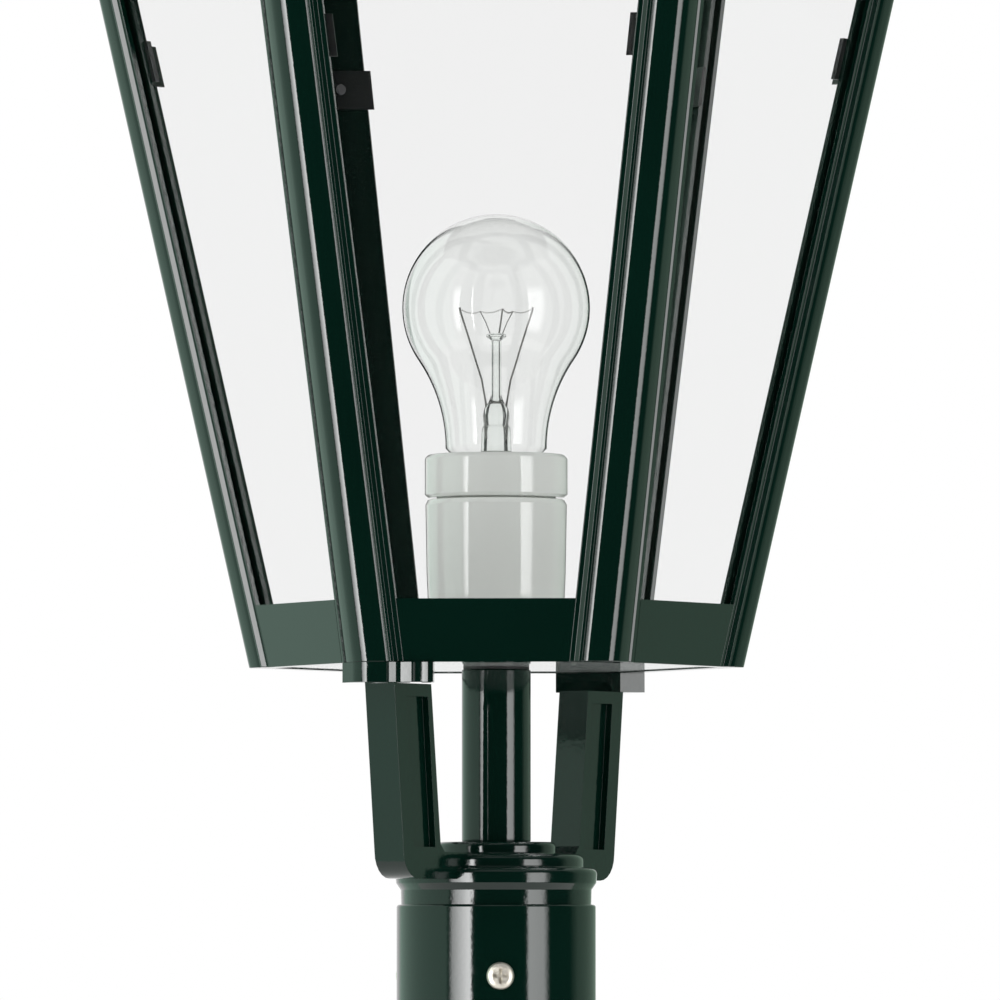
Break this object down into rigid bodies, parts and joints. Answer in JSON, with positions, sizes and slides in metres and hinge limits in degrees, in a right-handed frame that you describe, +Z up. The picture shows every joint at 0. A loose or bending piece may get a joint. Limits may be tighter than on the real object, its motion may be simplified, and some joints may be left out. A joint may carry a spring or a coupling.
{
  "type": "street lamp post",
  "caption": "Free-standing lamp post: hexagonal tapered glazed lantern with a screw-base bulb, on a round tube with a cast base, hinged roof and service door.",
  "frame": {"origin": "centre of the anchor-bolt circle on the underside of the base flange", "axes": "+Z up along the post, -Y the front, with the service door and one flat face of the lantern, +X to the right seen from the front"},
  "size_m": [0.33, 0.299, 2.1997],
  "materials": {
    "green_paint": "gloss powder coat, very dark green",
    "clear_glass": "clear float glass",
    "pale_glass": "pale glass with ground edges",
    "dark_strip": "satin dark green",
    "black_plastic": "satin black",
    "rubber_seal": "matte black",
    "stainless": "bright stainless",
    "black_steel": "blackened",
    "brass": "satin",
    "porcelain": "white glaze",
    "bulb_glass": "clear thin glass",
    "cap_metal": "bright",
    "wire_metal": "drawn wire",
    "pale_plastic": "satin pale grey",
    "board": "laminated board",
    "cable_sheath": "matte black sheath"
  },
  "bodies": {
    "post": {"base_casting": "green_paint", "door_hinge_pins": "stainless", "terminal_board": "board", "board_screws": "stainless", "terminal_block": "pale_plastic", "fuse_base": "black_plastic", "earth_stud": "brass", "post_tube": "green_paint", "tube_screws": "black_steel", "head_casting": "green_paint", "head_screws": "stainless", "support_arm_front": "green_paint", "support_arm_rear": "green_paint", "arm_screws": "stainless", "pad_screws": "stainless", "stem_tube": "green_paint", "stem_nipple": "black_steel", "nipple_nuts": "brass", "stem_washers": "rubber_seal", "lamp_cable": "cable_sheath", "bottom_frame": "green_paint", "bottom_pane": "pale_glass", "corner_post_1": "green_paint", "corner_post_2": "green_paint", "corner_post_3": "green_paint", "corner_post_4": "green_paint", "corner_post_5": "green_paint", "corner_post_6": "green_paint", "glass_pane_1": "clear_glass", "glass_pane_2": "clear_glass", "glass_pane_3": "clear_glass", "glass_pane_4": "clear_glass", "glass_pane_5": "clear_glass", "glass_pane_6": "clear_glass", "glazing_strips": "dark_strip", "glazing_clips": "black_plastic", "glazing_screws": "black_steel", "top_frame": "green_paint", "frame_screws": "stainless", "roof_hinge_lower": "green_paint", "roof_hinge_pin": "stainless", "lampholder_body": "porcelain", "lampholder_ring": "porcelain", "lampholder_shell": "brass", "lampholder_contact": "brass"},
    "base_door": {"base_door": "green_paint"},
    "door_lock": {"door_lock": "stainless"},
    "fuse_carrier": {"fuse_carrier": "pale_plastic"},
    "roof": {"roof": "green_paint", "roof_hinge_upper": "green_paint", "vent_collar": "green_paint", "vent_cap": "green_paint", "finial": "green_paint"},
    "roof_screw": {"roof_screw": "brass"},
    "bulb": {"bulb_glass": "bulb_glass", "bulb_cap": "cap_metal", "bulb_contact": "cap_metal", "bulb_mount": "bulb_glass", "bulb_filament": "wire_metal"}
  },
  "joints": [
    {"name": "roof_hinge", "type": "hinge", "parent": "post", "child": "roof", "pos_m": [0, 0.149, 1.9743], "axis": [-1, 0, 0], "range_deg": [0, 100]},
    {"name": "roof_screw_turn", "type": "hinge", "parent": "roof", "child": "roof_screw", "pos_m": [0, -0.134, 1.98], "axis": [0, 0, 1], "continuous": true},
    {"name": "bulb_lift", "type": "slide", "parent": "post", "child": "bulb", "axis": [0, 0, 1], "range_m": [0, 0.026]},
    {"name": "door_hinge", "type": "hinge", "parent": "post", "child": "base_door", "pos_m": [-0.044, -0.056, 0.18], "axis": [0, 0, -1], "range_deg": [0, 110]},
    {"name": "lock_turn", "type": "hinge", "parent": "base_door", "child": "door_lock", "pos_m": [0.024, -0.05, 0.18], "axis": [0, -1, 0], "range_deg": [0, 90]},
    {"name": "fuse_pull", "type": "slide", "parent": "post", "child": "fuse_carrier", "axis": [0, -1, 0], "range_m": [0, 0.012]}
  ]
}
